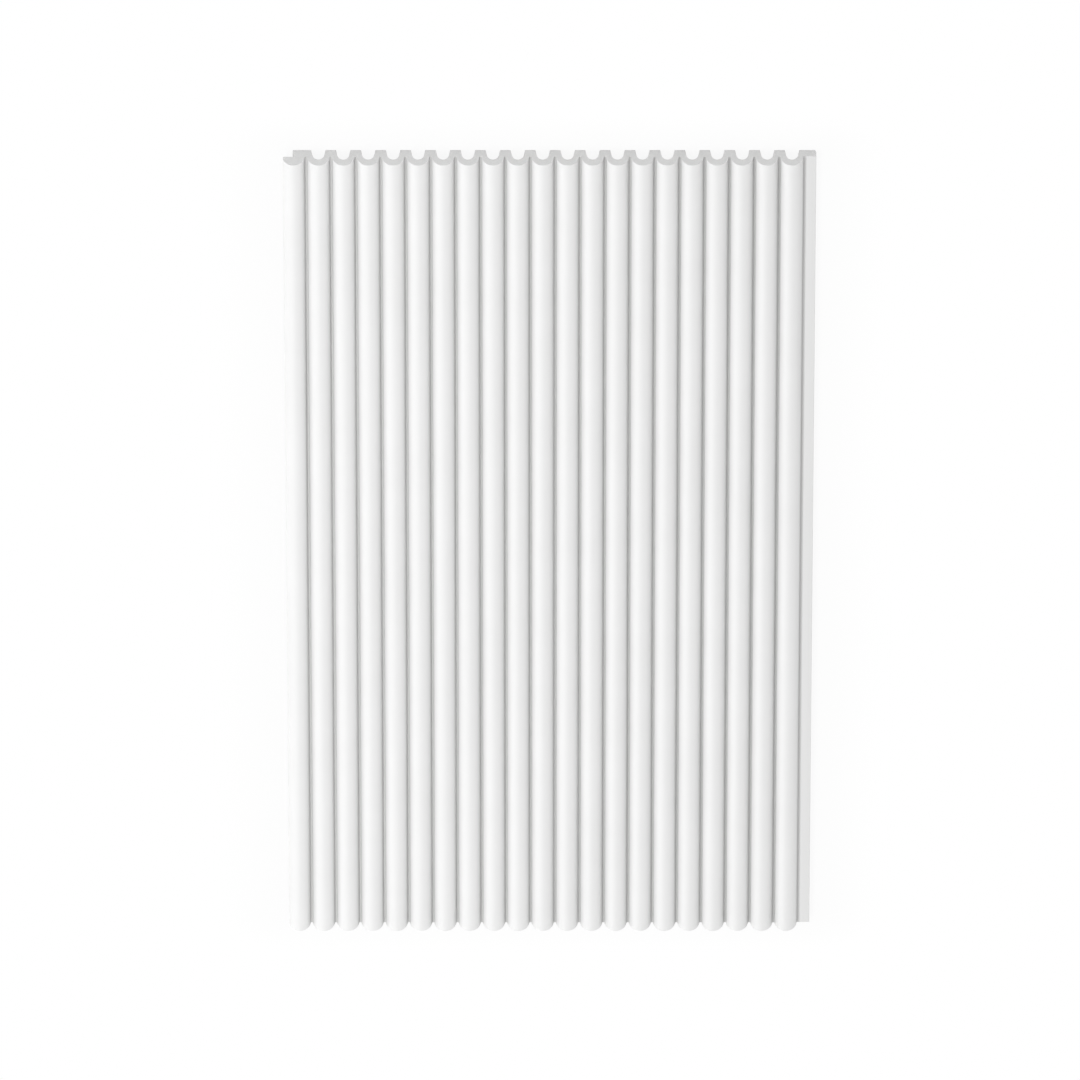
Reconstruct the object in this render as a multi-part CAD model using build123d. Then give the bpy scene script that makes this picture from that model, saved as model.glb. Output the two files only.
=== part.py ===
# Fluted wall panel: half-round reeds on a hollow-backed web, with a lap joint along both long edges.
# The panel lies on its back: X runs across the reeds, Y along them, and Z out of the fluted face.
import os
from math import cos, radians, sin, tan

from build123d import *

# Driving dimensions, in millimetres and degrees
PANEL_LENGTH = 1200.0
PANEL_THICKNESS = 13.8
REED_COUNT = 21
REED_PITCH = 19.05
GROOVE_WIDTH = 1.55
GROOVE_FLOOR = 6.0
HOLLOW_MOUTH = 11.0
HOLLOW_DEPTH = 8.4
HOLLOW_DRAFT = 12.0
ARRIS_RADIUS = 0.5

# Lap joint: the first reed overhangs a rebate, and a tongue past the last reed lies in the neighbour's rebate
LIP_TRIM = 0.75
REBATE_INSET = 0.9
REBATE_DRAFT = 15.0
JOINT_CLEARANCE = 0.3
TONGUE_CHAMFER_WIDTH = 1.0
TONGUE_CHAMFER_HEIGHT = 2.0

# Sizes that follow from them, with X measured from the first reed's centre line
reed_radius = (REED_PITCH - GROOVE_WIDTH) / 2
reed_centres = [index * REED_PITCH for index in range(REED_COUNT)]
last_centre = reed_centres[-1]
next_panel_centre = last_centre + REED_PITCH
lip_tip = LIP_TRIM - reed_radius


def rebate_wall(height):
    """Place of the rebate's undercut wall at a height above the back, from a reed's centre line."""
    return REBATE_INSET - (GROOVE_FLOOR - height) * tan(radians(REBATE_DRAFT))


def reed(centre):
    """Half-round reed on straight shanks that stand on the back plane."""
    shoulder = PANEL_THICKNESS - reed_radius
    left = centre - reed_radius
    right = centre + reed_radius
    crown = CenterArc((centre, shoulder), reed_radius, 0, 180)
    shanks = Polyline((left, shoulder), (left, 0), (right, 0), (right, shoulder))
    return make_face([crown, shanks])


def hollow(centre):
    """Weight-saving channel behind a reed: drafted sides that run into a full-round bottom."""
    draft = radians(HOLLOW_DRAFT)
    half_mouth = HOLLOW_MOUTH / 2
    radius = (half_mouth * cos(draft) - HOLLOW_DEPTH * sin(draft)) / (1 - sin(draft))
    tangent_x = radius * cos(draft)
    tangent_z = HOLLOW_DEPTH - radius * (1 - sin(draft))
    start = (centre + tangent_x, tangent_z)
    end = (centre - tangent_x, tangent_z)
    bottom = ThreePointArc(start, (centre, HOLLOW_DEPTH), end)
    sides = Polyline(end, (centre - half_mouth, 0), (centre + half_mouth, 0), start)
    return make_face([bottom, sides])


def tongue():
    """Flat tongue beyond the last reed, one clearance short of the neighbour's lip and rebate wall."""
    front = GROOVE_FLOOR - JOINT_CLEARANCE
    end = next_panel_centre + rebate_wall(TONGUE_CHAMFER_HEIGHT) - JOINT_CLEARANCE
    outline = Polyline(
        (last_centre, 0),
        (end - TONGUE_CHAMFER_WIDTH, 0),
        (end, TONGUE_CHAMFER_HEIGHT),
        (end, front),
        (last_centre, front),
        close=True,
    )
    return make_face(outline)


def rebate():
    """Space under and beside the first reed's lip, open to the left and to the back."""
    outside = -REED_PITCH
    outline = Polyline(
        (outside, 0),
        (rebate_wall(0), 0),
        (rebate_wall(GROOVE_FLOOR), GROOVE_FLOOR),
        (lip_tip, GROOVE_FLOOR),
        (lip_tip, PANEL_THICKNESS),
        (outside, PANEL_THICKNESS),
        close=True,
    )
    return make_face(outline)


def section():
    """Cross-section of the panel, with the arrises of its back, lip and tongue eased."""
    web = Rectangle(last_centre, GROOVE_FLOOR, align=Align.MIN)
    profile = web + [reed(centre) for centre in reed_centres] + tongue()
    profile -= [rebate()] + [hollow(centre) for centre in reed_centres[1:]]
    corners = profile.vertices()
    back_arrises = corners.group_by(Axis.Y)[0]
    lip_arrises = corners.group_by(Axis.X)[0]
    tongue_arrises = corners.group_by(Axis.X)[-1]
    return fillet(back_arrises + lip_arrises + tongue_arrises, ARRIS_RADIUS)


# The origin is under the middle of the panel's box, on the back plane
profile = section()
middle = profile.bounding_box().center().X
fluted_panel = extrude(Plane.XZ * Pos(-middle, 0) * profile, amount=PANEL_LENGTH / 2, both=True)

os.makedirs("parts", exist_ok=True)
export_step(fluted_panel, "parts/fluted_panel.step")
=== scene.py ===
"""Fluted wall panel lying on its back in a white studio: its fine mesh, finishes, light and camera."""
from math import acos, asin, atan2, cos, pi, radians, sin, tan

import bmesh
import bpy
from mathutils import Matrix, Vector


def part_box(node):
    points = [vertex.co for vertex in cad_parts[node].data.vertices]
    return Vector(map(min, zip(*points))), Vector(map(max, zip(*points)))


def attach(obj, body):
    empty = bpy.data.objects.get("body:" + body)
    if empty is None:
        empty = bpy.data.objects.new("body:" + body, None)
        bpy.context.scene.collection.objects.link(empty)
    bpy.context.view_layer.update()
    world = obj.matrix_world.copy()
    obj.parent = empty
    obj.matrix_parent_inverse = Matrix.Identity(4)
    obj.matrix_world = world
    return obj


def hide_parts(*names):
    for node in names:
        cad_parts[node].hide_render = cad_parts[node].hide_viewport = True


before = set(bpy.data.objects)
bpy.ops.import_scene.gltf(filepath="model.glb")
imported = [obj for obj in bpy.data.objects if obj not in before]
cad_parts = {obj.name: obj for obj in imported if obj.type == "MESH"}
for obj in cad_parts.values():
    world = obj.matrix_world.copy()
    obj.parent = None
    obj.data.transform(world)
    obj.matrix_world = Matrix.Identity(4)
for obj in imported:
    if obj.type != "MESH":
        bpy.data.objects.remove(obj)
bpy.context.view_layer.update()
PANEL_NODE = "fluted_panel"
BOX_LOW, BOX_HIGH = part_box(PANEL_NODE)
PANEL_WIDTH = BOX_HIGH.x - BOX_LOW.x
PANEL_LENGTH = BOX_HIGH.y - BOX_LOW.y

# Section of the panel, in metres and degrees
PANEL_THICKNESS = 0.0138
REED_COUNT = 21
REED_PITCH = 0.01905
GROOVE_WIDTH = 0.00155
GROOVE_FLOOR = 0.006
HOLLOW_MOUTH = 0.011
HOLLOW_DEPTH = 0.0084
HOLLOW_DRAFT = 12.0
LIP_TRIM = 0.00075
REBATE_INSET = 0.0009
REBATE_DRAFT = 15.0
JOINT_CLEARANCE = 0.0003
TONGUE_CHAMFER_WIDTH = 0.001
TONGUE_CHAMFER_HEIGHT = 0.002
ARRIS_RADIUS = 0.0005
SAWN_ARRIS = 0.0001

# Fineness of the mesh
REED_STEPS = 36
HOLLOW_STEPS = 20
ARRIS_STEPS = 4
LENGTH_STEPS = 24
SHARP_ANGLE = 30.0

# Material slots of the panel's mesh
FACE, BACK, END = range(3)

# Sizes that follow from the section
REED_RADIUS = (REED_PITCH - GROOVE_WIDTH) / 2
SHOULDER = PANEL_THICKNESS - REED_RADIUS
TONGUE_FRONT = GROOVE_FLOOR - JOINT_CLEARANCE
LIP_TIP = LIP_TRIM - REED_RADIUS
FIRST_REED = BOX_LOW.x - LIP_TIP


def reed_centre(index):
    """Centre line of a reed, counted from the first. The one after the last is the next panel's first."""
    return FIRST_REED + index * REED_PITCH


def rebate_wall(height):
    """Place of the rebate's undercut wall at a height above the back, from a reed's centre line."""
    return REBATE_INSET - (GROOVE_FLOOR - height) * tan(radians(REBATE_DRAFT))


def arc(centre, radius, start, end, steps):
    """Points along a round stretch of the section, from one angle to another, in radians."""
    angles = [start + (end - start) * step / steps for step in range(steps + 1)]
    return [centre + radius * Vector((cos(angle), sin(angle))) for angle in angles]


def eased(before, corner, after):
    """Points that round a corner between two straight runs by the arris radius."""
    to_before = (before - corner).normalized()
    to_after = (after - corner).normalized()
    half_angle = to_before.angle(to_after) / 2
    bisector = (to_before + to_after).normalized()
    centre = corner + bisector * ARRIS_RADIUS / sin(half_angle)
    start = corner + to_before * ARRIS_RADIUS / tan(half_angle) - centre
    end = corner + to_after * ARRIS_RADIUS / tan(half_angle) - centre
    turn = start.angle_signed(end)
    first = atan2(start.y, start.x)
    return arc(centre, ARRIS_RADIUS, first, first - turn, ARRIS_STEPS)


def reed_run(index):
    """Round of one reed, left to right. The first has the lip's eased tip, the last ends on the tongue."""
    centre = Vector((reed_centre(index), SHOULDER))
    foot = asin((GROOVE_FLOOR - SHOULDER) / REED_RADIUS)
    tip = []
    start = pi - foot
    end = foot
    if index == 0:
        inner_radius = REED_RADIUS - ARRIS_RADIUS
        start = acos((LIP_TIP + ARRIS_RADIUS) / inner_radius)
        tip_centre = centre + inner_radius * Vector((cos(start), sin(start)))
        tip = arc(tip_centre, ARRIS_RADIUS, pi, start, ARRIS_STEPS)[:-1]
    if index == REED_COUNT - 1:
        end = asin((TONGUE_FRONT - SHOULDER) / REED_RADIUS)
    return tip + arc(centre, REED_RADIUS, start, end, REED_STEPS)


def hollow_run(index):
    """Channel behind one reed, right to left: eased mouth, drafted side, round bottom, side and mouth."""
    centre = reed_centre(index)
    draft = radians(HOLLOW_DRAFT)
    half_mouth = HOLLOW_MOUTH / 2
    radius = (half_mouth * cos(draft) - HOLLOW_DEPTH * sin(draft)) / (1 - sin(draft))
    middle = Vector((centre, HOLLOW_DEPTH - radius))
    bottom = arc(middle, radius, draft, pi - draft, HOLLOW_STEPS)
    land = Vector((REED_PITCH, 0))
    right = Vector((centre + half_mouth, 0))
    left = Vector((centre - half_mouth, 0))
    return eased(right + land, right, bottom[0]) + bottom + eased(bottom[-1], left, left - land)


def tongue_run():
    """Tongue from its front to its back: front corner, end, and chamfered back corner."""
    end = reed_centre(REED_COUNT) + rebate_wall(TONGUE_CHAMFER_HEIGHT) - JOINT_CLEARANCE
    root = Vector((end - REED_PITCH / 2, TONGUE_FRONT))
    front = Vector((end, TONGUE_FRONT))
    shoulder = Vector((end, TONGUE_CHAMFER_HEIGHT))
    heel = Vector((end - TONGUE_CHAMFER_WIDTH, 0))
    back = Vector((end - REED_PITCH / 2, 0))
    return eased(root, front, shoulder) + eased(front, shoulder, heel) + eased(shoulder, heel, back)


def rebate_run():
    """Rebate under the first reed: heel of the first land, undercut wall, underside and tip of the lip."""
    back = Vector((FIRST_REED + REED_PITCH / 2, 0))
    heel = Vector((FIRST_REED + rebate_wall(0), 0))
    corner = Vector((FIRST_REED + rebate_wall(GROOVE_FLOOR), GROOVE_FLOOR))
    tip = Vector((FIRST_REED + LIP_TIP, GROOVE_FLOOR))
    above = Vector((tip.x, PANEL_THICKNESS))
    return eased(back, heel, corner) + [corner] + eased(corner, tip, above)


def section_outline():
    """Closed outline of the section, clockwise from the lip's tip, and how many points are on its face."""
    points = []
    for index in range(REED_COUNT):
        points += reed_run(index)
    points += tongue_run()
    face_points = len(points) - ARRIS_STEPS
    for index in reversed(range(1, REED_COUNT)):
        points += hollow_run(index)
    points += rebate_run()
    return points, face_points


def inset(points, depth):
    """The outline drawn in by a small depth, for the eased edge of a sawn end."""
    moved = []
    for index, point in enumerate(points):
        before = (point - points[index - 1]).normalized()
        after = (points[(index + 1) % len(points)] - point).normalized()
        along = (before + after).normalized()
        moved.append(point + Vector((along.y, -along.x)) * depth)
    return moved


def panel_mesh():
    """The panel as one closed mesh: rings of the section along its length, closed by the sawn ends."""
    outline, face_points = section_outline()
    drawn_in = inset(outline, SAWN_ARRIS)
    half = PANEL_LENGTH / 2
    straight = half - SAWN_ARRIS
    rings = [(-half, drawn_in)]
    for step in range(LENGTH_STEPS + 1):
        rings.append((straight * (2 * step / LENGTH_STEPS - 1), outline))
    rings.append((half, drawn_in))
    work = bmesh.new()
    loops = [[work.verts.new((point.x, y, point.y)) for point in points] for y, points in rings]
    for near, far in zip(loops, loops[1:]):
        for index in range(len(outline)):
            after = (index + 1) % len(outline)
            wall = work.faces.new((near[index], near[after], far[after], far[index]))
            wall.material_index = FACE if index < face_points or after == 0 else BACK
            wall.smooth = True
    for loop in (loops[0], loops[-1]):
        end = work.faces.new(loop)
        end.material_index = END
    bmesh.ops.recalc_face_normals(work, faces=work.faces)
    ends = [face for face in work.faces if face.material_index == END]
    bmesh.ops.triangulate(work, faces=ends)
    mesh = bpy.data.meshes.new("fluted_wall_panel")
    work.to_mesh(mesh)
    work.free()
    mesh.set_sharp_from_angle(angle=radians(SHARP_ANGLE))
    return mesh


# Shader nodes

def add_node(tree, kind, **settings):
    """A node of that kind, with its settings and the plain values of its inputs."""
    node = tree.nodes.new(kind)
    inputs = settings.pop("inputs", {})
    for name, value in settings.items():
        setattr(node, name, value)
    for name, value in inputs.items():
        node.inputs[name].default_value = value
    return node


def new_group(name, scale, output):
    """A shader node group with a scale to set and one number output, and its own object coordinates."""
    group = bpy.data.node_groups.new(name, "ShaderNodeTree")
    group.interface.new_socket(name=scale, in_out="INPUT", socket_type="NodeSocketFloat")
    group.interface.new_socket(name=output, in_out="OUTPUT", socket_type="NodeSocketFloat")
    entry = group.nodes.new("NodeGroupInput")
    leave = group.nodes.new("NodeGroupOutput")
    place = group.nodes.new("ShaderNodeTexCoord").outputs["Object"]
    return group, entry.outputs[scale], leave.inputs[output], place


def die_lines_group():
    """Faint streaks left by the die: noise that is fine across the reeds and long along them."""
    group, scale, height, place = new_group("die lines", "Lines per metre", "Height")
    stretch = add_node(group, "ShaderNodeMapping", inputs={"Scale": DIE_LINE_STRETCH})
    noise = add_node(group, "ShaderNodeTexNoise", inputs={"Detail": 3.0, "Roughness": 0.6})
    group.links.new(place, stretch.inputs["Vector"])
    group.links.new(stretch.outputs["Vector"], noise.inputs["Vector"])
    group.links.new(scale, noise.inputs["Scale"])
    group.links.new(noise.outputs["Fac"], height)
    return group


def mottle_group():
    """Slow change of tone over the surface, from 0 to 1."""
    group, scale, tone, place = new_group("mottle", "Patches per metre", "Tone")
    noise = add_node(group, "ShaderNodeTexNoise", inputs={"Detail": 4.0, "Roughness": 0.55})
    spread = add_node(group, "ShaderNodeMapRange", inputs={"From Min": 0.3, "From Max": 0.7})
    group.links.new(place, noise.inputs["Vector"])
    group.links.new(scale, noise.inputs["Scale"])
    group.links.new(noise.outputs["Fac"], spread.inputs["Value"])
    group.links.new(spread.outputs["Result"], tone)
    return group


def foam_cells_group():
    """Closed cells of the foam where it is cut: low in the middle of a cell, high on the walls between."""
    group, scale, height, place = new_group("foam cells", "Cells per metre", "Height")
    cells = add_node(group, "ShaderNodeTexVoronoi", feature="SMOOTH_F1", inputs={"Smoothness": 0.4})
    group.links.new(place, cells.inputs["Vector"])
    group.links.new(scale, cells.inputs["Scale"])
    group.links.new(cells.outputs["Distance"], height)
    return group


def place_group(tree, group, scale):
    """A group's output in a material, with the material's own scale."""
    node = tree.nodes.new("ShaderNodeGroup")
    node.node_tree = group
    node.inputs[0].default_value = scale
    return node.outputs[0]


def mix_colours(tree, share, first, second):
    """Colour that goes from the first to the second with a share. Each is plain or a node's output."""
    mix = add_node(tree, "ShaderNodeMix", data_type="RGBA")
    sockets = [socket for socket in mix.inputs if socket.type == "RGBA"]
    for socket, colour in zip(sockets, (first, second)):
        if isinstance(colour, tuple):
            socket.default_value = colour
        else:
            tree.links.new(colour, socket)
    tree.links.new(share, mix.inputs["Factor"])
    return [socket for socket in mix.outputs if socket.type == "RGBA"][0]


def vary_roughness(tree, shader, tone, low, high):
    """Roughness that goes from low to high with a tone."""
    spread = add_node(tree, "ShaderNodeMapRange", inputs={"To Min": low, "To Max": high})
    tree.links.new(tone, spread.inputs["Value"])
    tree.links.new(spread.outputs["Result"], shader.inputs["Roughness"])


def raise_relief(tree, shader, height, depth):
    """Relief from a height, with its depth in metres."""
    bump = add_node(tree, "ShaderNodeBump", inputs={"Distance": depth})
    tree.links.new(height, bump.inputs["Height"])
    tree.links.new(bump.outputs["Normal"], shader.inputs["Normal"])


# Finishes: a pair goes from its first to its second value with the mottle, or with the foam's cells
FACE_WHITES = ((0.810, 0.810, 0.807, 1), (0.832, 0.832, 0.830, 1))
FACE_ROUGHNESS = (0.46, 0.54)
FACE_SPECULAR = 0.25
FACE_PATCHES_PER_METRE = 11.0
FACE_LINES_PER_METRE = 700.0
FACE_LINE_DEPTH = 0.00002
# Painted shade: grey painted along the bottoms of the grooves, where shade falls between the reeds
GROOVE_PAINTED_SHADE_GREY = (0.63, 0.63, 0.625, 1)
GROOVE_PAINTED_SHADE_FADE = 0.0011
# Painted shade: the tongue is painted a little greyer, for the shade that the last reed casts on it
TONGUE_PAINTED_SHADE_GREY = (0.775, 0.775, 0.772, 1)
BACK_WHITES = ((0.800, 0.798, 0.790, 1), (0.838, 0.837, 0.832, 1))
BACK_ROUGHNESS = (0.6, 0.72)
BACK_PATCHES_PER_METRE = 24.0
BACK_LINES_PER_METRE = 1100.0
BACK_LINE_DEPTH = 0.00006
# Painted shade: the cut end is greyer than the foam's own white, for the shade on the end; the pair runs
# from the middle of each cell to the walls between
END_PAINTED_SHADE_GREYS = ((0.7, 0.7, 0.695, 1), (0.767, 0.767, 0.764, 1))
END_ROUGHNESS = (0.8, 0.9)
END_PATCHES_PER_METRE = 60.0
END_CELLS_PER_METRE = 1800.0
END_CELL_DEPTH = 0.00012
DIE_LINE_STRETCH = (1.0, 0.0015, 1.0)

DIE_LINES = die_lines_group()
MOTTLE = mottle_group()
FOAM_CELLS = foam_cells_group()


def new_finish(name):
    """A material with its Principled shader."""
    material = bpy.data.materials.new(name)
    material.use_nodes = True
    tree = material.node_tree
    return material, tree, tree.nodes["Principled BSDF"]


def place_across(tree):
    """Where a point lies across the reeds, in metres from the middle of the panel."""
    place = tree.nodes.new("ShaderNodeTexCoord").outputs["Object"]
    split = tree.nodes.new("ShaderNodeSeparateXYZ")
    tree.links.new(place, split.inputs[0])
    return split.outputs["X"]


def painted_groove_shade_share(tree):
    """Mask of the painted shade in the grooves: 1 along the bottom of each groove and at the tongue's
    root, fading to 0 low on the reeds' flanks.
    """
    from_first = add_node(tree, "ShaderNodeMath", operation="SUBTRACT", inputs={1: FIRST_REED})
    from_nearest = add_node(tree, "ShaderNodeMath", operation="PINGPONG", inputs={1: REED_PITCH / 2})
    fade = add_node(tree, "ShaderNodeMapRange", interpolation_type="SMOOTHSTEP")
    fade.inputs["From Min"].default_value = REED_RADIUS - GROOVE_PAINTED_SHADE_FADE
    fade.inputs["From Max"].default_value = REED_RADIUS
    tree.links.new(place_across(tree), from_first.inputs[0])
    tree.links.new(from_first.outputs[0], from_nearest.inputs[0])
    tree.links.new(from_nearest.outputs[0], fade.inputs["Value"])
    return fade.outputs["Result"]


def painted_tongue_shade_share(tree):
    """Mask of the painted shade on the tongue: 1 on the tongue past the last reed, and 0 on the reeds."""
    tongue_root = reed_centre(REED_COUNT - 1) + REED_RADIUS
    past = add_node(tree, "ShaderNodeMath", operation="GREATER_THAN", inputs={1: tongue_root})
    tree.links.new(place_across(tree), past.inputs[0])
    return past.outputs[0]


def primed_face():
    """Smooth satin primer of the fluted face, with faint die lines and painted shade: grey along the
    bottoms of the grooves and a little grey on the tongue.
    """
    material, tree, shader = new_finish("primed_face")
    tone = place_group(tree, MOTTLE, FACE_PATCHES_PER_METRE)
    lines = place_group(tree, DIE_LINES, FACE_LINES_PER_METRE)
    white = mix_colours(tree, tone, *FACE_WHITES)
    # Painted shade: the tongue is painted a little greyer than the reeds
    reeds_and_tongue = mix_colours(tree, painted_tongue_shade_share(tree), white, TONGUE_PAINTED_SHADE_GREY)
    # Painted shade: the grooves' bottoms are painted grey
    colour = mix_colours(tree, painted_groove_shade_share(tree), reeds_and_tongue, GROOVE_PAINTED_SHADE_GREY)
    tree.links.new(colour, shader.inputs["Base Color"])
    vary_roughness(tree, shader, tone, *FACE_ROUGHNESS)
    shader.inputs["Specular IOR Level"].default_value = FACE_SPECULAR
    raise_relief(tree, shader, lines, FACE_LINE_DEPTH)
    return material


def raw_back():
    """Bare skin of the extrusion on the back and in the channels: duller, with deeper die lines."""
    material, tree, shader = new_finish("raw_back")
    tone = place_group(tree, MOTTLE, BACK_PATCHES_PER_METRE)
    lines = place_group(tree, DIE_LINES, BACK_LINES_PER_METRE)
    colour = mix_colours(tree, tone, *BACK_WHITES)
    tree.links.new(colour, shader.inputs["Base Color"])
    vary_roughness(tree, shader, tone, *BACK_ROUGHNESS)
    raise_relief(tree, shader, lines, BACK_LINE_DEPTH)
    return material


def sawn_end():
    """Sawn end of the foam: matt, with its fine closed cells open to view, and painted shade: greyer than
    the foam's own white.
    """
    material, tree, shader = new_finish("sawn_end")
    tone = place_group(tree, MOTTLE, END_PATCHES_PER_METRE)
    cells = place_group(tree, FOAM_CELLS, END_CELLS_PER_METRE)
    # Painted shade: the cut end's greys sit below the foam's own white
    colour = mix_colours(tree, cells, *END_PAINTED_SHADE_GREYS)
    tree.links.new(colour, shader.inputs["Base Color"])
    vary_roughness(tree, shader, tone, *END_ROUGHNESS)
    raise_relief(tree, shader, cells, END_CELL_DEPTH)
    return material


def add_object(name, data):
    """A new object in the scene, with its mesh, lamp or camera."""
    holder = bpy.data.objects.new(name, data)
    bpy.context.scene.collection.objects.link(holder)
    return holder


def make_panel():
    """The panel's visible piece, in place of the plain solid."""
    panel = add_object("fluted_wall_panel", panel_mesh())
    for finish in (primed_face(), raw_back(), sawn_end()):
        panel.data.materials.append(finish)
    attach(panel, "root")
    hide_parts(PANEL_NODE)


# Studio: sizes in metres, and brightness as a share of plain white
FLOOR_SIZE = 20.0
FLOOR_COLOUR = (0.78, 0.78, 0.78, 1)
FLOOR_GLOW = 0.92
FLOOR_WHITE_FROM = 0.06
WORLD_LIGHT = 0.6
PLAIN_WHITE = 1.0
STRIP_LENGTH = 14.0


def seen_directly(tree):
    """1 for rays that show the background: the camera's, and those that a gloss or glass sends on."""
    light_path = tree.nodes.new("ShaderNodeLightPath")
    total = light_path.outputs["Is Camera Ray"]
    for name in ("Is Glossy Ray", "Is Transmission Ray"):
        larger = add_node(tree, "ShaderNodeMath", operation="MAXIMUM")
        tree.links.new(total, larger.inputs[0])
        tree.links.new(light_path.outputs[name], larger.inputs[1])
        total = larger.outputs[0]
    return total


def distance_from_panel(tree):
    """How far a place on the floor lies outside the panel's outline, in metres."""
    place = tree.nodes.new("ShaderNodeTexCoord").outputs["Object"]
    half_size = Vector((PANEL_WIDTH, PANEL_LENGTH, 0)) / 2
    from_middle = add_node(tree, "ShaderNodeVectorMath", operation="ABSOLUTE")
    past_edges = add_node(tree, "ShaderNodeVectorMath", operation="SUBTRACT", inputs={1: half_size})
    outside = add_node(tree, "ShaderNodeVectorMath", operation="MAXIMUM", inputs={1: Vector()})
    distance = add_node(tree, "ShaderNodeVectorMath", operation="LENGTH")
    tree.links.new(place, from_middle.inputs[0])
    tree.links.new(from_middle.outputs["Vector"], past_edges.inputs[0])
    tree.links.new(past_edges.outputs["Vector"], outside.inputs[0])
    tree.links.new(outside.outputs["Vector"], distance.inputs[0])
    return distance.outputs["Value"]


def floor_finish():
    """Matt floor that keeps the panel's shadow beside it, and shows plain white away from it."""
    material = bpy.data.materials.new("studio_floor")
    material.use_nodes = True
    tree = material.node_tree
    tree.nodes.clear()
    matt = add_node(tree, "ShaderNodeBsdfDiffuse", inputs={"Color": FLOOR_COLOUR})
    glow = add_node(tree, "ShaderNodeEmission", inputs={"Strength": PLAIN_WHITE})
    fade = add_node(tree, "ShaderNodeMapRange", interpolation_type="SMOOTHSTEP")
    fade.inputs["From Max"].default_value = FLOOR_WHITE_FROM
    fade.inputs["To Min"].default_value = FLOOR_GLOW
    share = add_node(tree, "ShaderNodeMath", operation="MULTIPLY")
    mix = tree.nodes.new("ShaderNodeMixShader")
    surface = tree.nodes.new("ShaderNodeOutputMaterial")
    tree.links.new(distance_from_panel(tree), fade.inputs["Value"])
    tree.links.new(seen_directly(tree), share.inputs[0])
    tree.links.new(fade.outputs["Result"], share.inputs[1])
    tree.links.new(share.outputs[0], mix.inputs[0])
    tree.links.new(matt.outputs[0], mix.inputs[1])
    tree.links.new(glow.outputs[0], mix.inputs[2])
    tree.links.new(mix.outputs[0], surface.inputs["Surface"])
    return material


def studio_floor():
    """Level floor under the panel."""
    half = FLOOR_SIZE / 2
    corners = [(-half, -half, 0), (half, -half, 0), (half, half, 0), (-half, half, 0)]
    mesh = bpy.data.meshes.new("studio_floor")
    mesh.from_pydata(corners, [], [(0, 1, 2, 3)])
    mesh.materials.append(floor_finish())
    floor = add_object("studio_floor", mesh)


def studio_world():
    """White room: soft light from all round, and white where the camera sees past the floor."""
    world = bpy.data.worlds.new("studio")
    bpy.context.scene.world = world
    world.use_nodes = True
    tree = world.node_tree
    background = tree.nodes["Background"]
    background.inputs["Color"].default_value = (1, 1, 1, 1)
    level = add_node(tree, "ShaderNodeMapRange", inputs={"To Min": WORLD_LIGHT, "To Max": PLAIN_WHITE})
    tree.links.new(seen_directly(tree), level.inputs["Value"])
    tree.links.new(level.outputs["Result"], background.inputs["Strength"])


def stand(holder, right, up, back, place):
    """Puts a lamp or a camera in its place, with its own three axes along the given directions."""
    turn = Matrix((right, up, back)).transposed()
    holder.matrix_world = Matrix.Translation(place) @ turn.to_4x4()


def strip_lamp(name, lean, distance, width, brightness):
    """Long soft lamp along the reeds, at a lean in degrees from upright towards the tongue's edge."""
    lamp = bpy.data.lights.new(name, "AREA")
    lamp.shape = "RECTANGLE"
    lamp.size = width
    lamp.size_y = STRIP_LENGTH
    lamp.energy = brightness * pi * width * STRIP_LENGTH
    holder = add_object(name, lamp)
    holder.visible_camera = False
    to_lamp = Vector((sin(radians(lean)), 0, cos(radians(lean))))
    along = Vector((0, 1, 0))
    stand(holder, along.cross(to_lamp), along, to_lamp, to_lamp * distance)


# Camera: places in the picture are in its pixels, from the top left
IMAGE_SIZE_PX = 1080
PANEL_WIDTH_PX = 526.4
PANEL_MIDDLE_PX = Vector((549.5, 540.5))
VIEW_ANGLE = 60.4
LENS_MM = 1700.0
SENSOR_MM = 36.0
CLIP_END = 120.0


def photo_camera():
    """Long lens that looks down at a slant, rolled so that the near end is at the top of the picture."""
    slant = radians(VIEW_ANGLE)
    right = Vector((1, 0, 0))
    up = Vector((0, cos(slant), -sin(slant)))
    back = Vector((0, sin(slant), cos(slant)))
    metres_per_px = PANEL_WIDTH / PANEL_WIDTH_PX
    distance = LENS_MM / SENSOR_MM * IMAGE_SIZE_PX * metres_per_px
    top = Vector((0, PANEL_LENGTH / 2, 0))
    bottom = Vector((0, -PANEL_LENGTH / 2, PANEL_THICKNESS))
    to_top = distance - top.dot(back)
    to_bottom = distance - bottom.dot(back)
    middle = (top.dot(up) * to_bottom + bottom.dot(up) * to_top) / (to_top + to_bottom)
    off_centre = (PANEL_MIDDLE_PX - Vector((IMAGE_SIZE_PX, IMAGE_SIZE_PX)) / 2) * metres_per_px
    aim = right * -off_centre.x + up * (middle + off_centre.y)
    camera = bpy.data.cameras.new("photo_camera")
    camera.lens = LENS_MM
    camera.sensor_width = SENSOR_MM
    camera.clip_end = CLIP_END
    holder = add_object("photo_camera", camera)
    stand(holder, right, up, back, aim + back * distance)
    bpy.context.scene.camera = holder


make_panel()
studio_floor()
studio_world()
strip_lamp("key_strip", lean=-29.0, distance=2.0, width=0.68, brightness=2.75)
strip_lamp("low_strip", lean=-80.0, distance=2.0, width=0.2, brightness=1.8)
strip_lamp("fill_strip", lean=79.0, distance=2.5, width=0.9, brightness=0.65)
photo_camera()
bpy.context.scene.view_settings.view_transform = "Standard"

bpy.context.view_layer.update()
